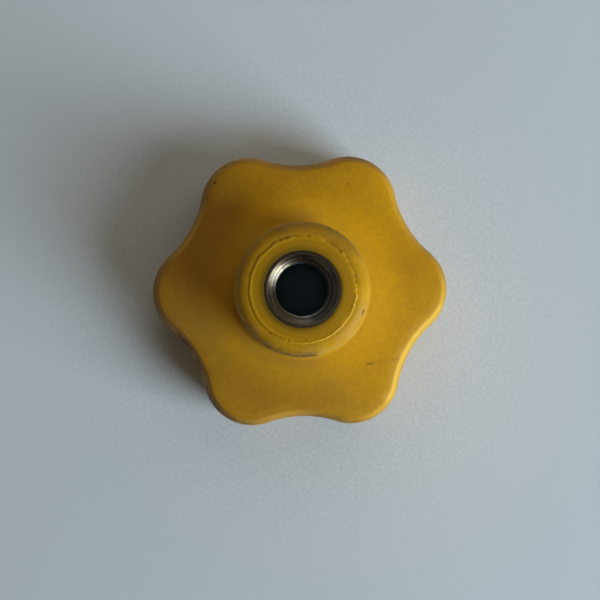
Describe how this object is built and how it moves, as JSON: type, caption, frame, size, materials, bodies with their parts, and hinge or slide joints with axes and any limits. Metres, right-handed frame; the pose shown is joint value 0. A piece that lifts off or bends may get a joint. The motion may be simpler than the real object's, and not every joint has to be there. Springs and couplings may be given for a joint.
{
  "type": "hand knob",
  "caption": "Lobed star hand knob of yellow plastic with a round hub and a moulded-in threaded steel bush, for clamping by hand.",
  "frame": {"origin": "middle of the flat palm face, on the knob's axis", "axes": "+Z along the knob's axis from the palm face to the end of the hub, +X through the middle of a lobe"},
  "size_m": [0.05, 0.0456, 0.034],
  "materials": {
    "knob_plastic": "satin",
    "bush_steel": "dull, darkened"
  },
  "bodies": {
    "root": {"knob_body": "knob_plastic", "threaded_bush": "bush_steel"}
  },
  "joints": []
}
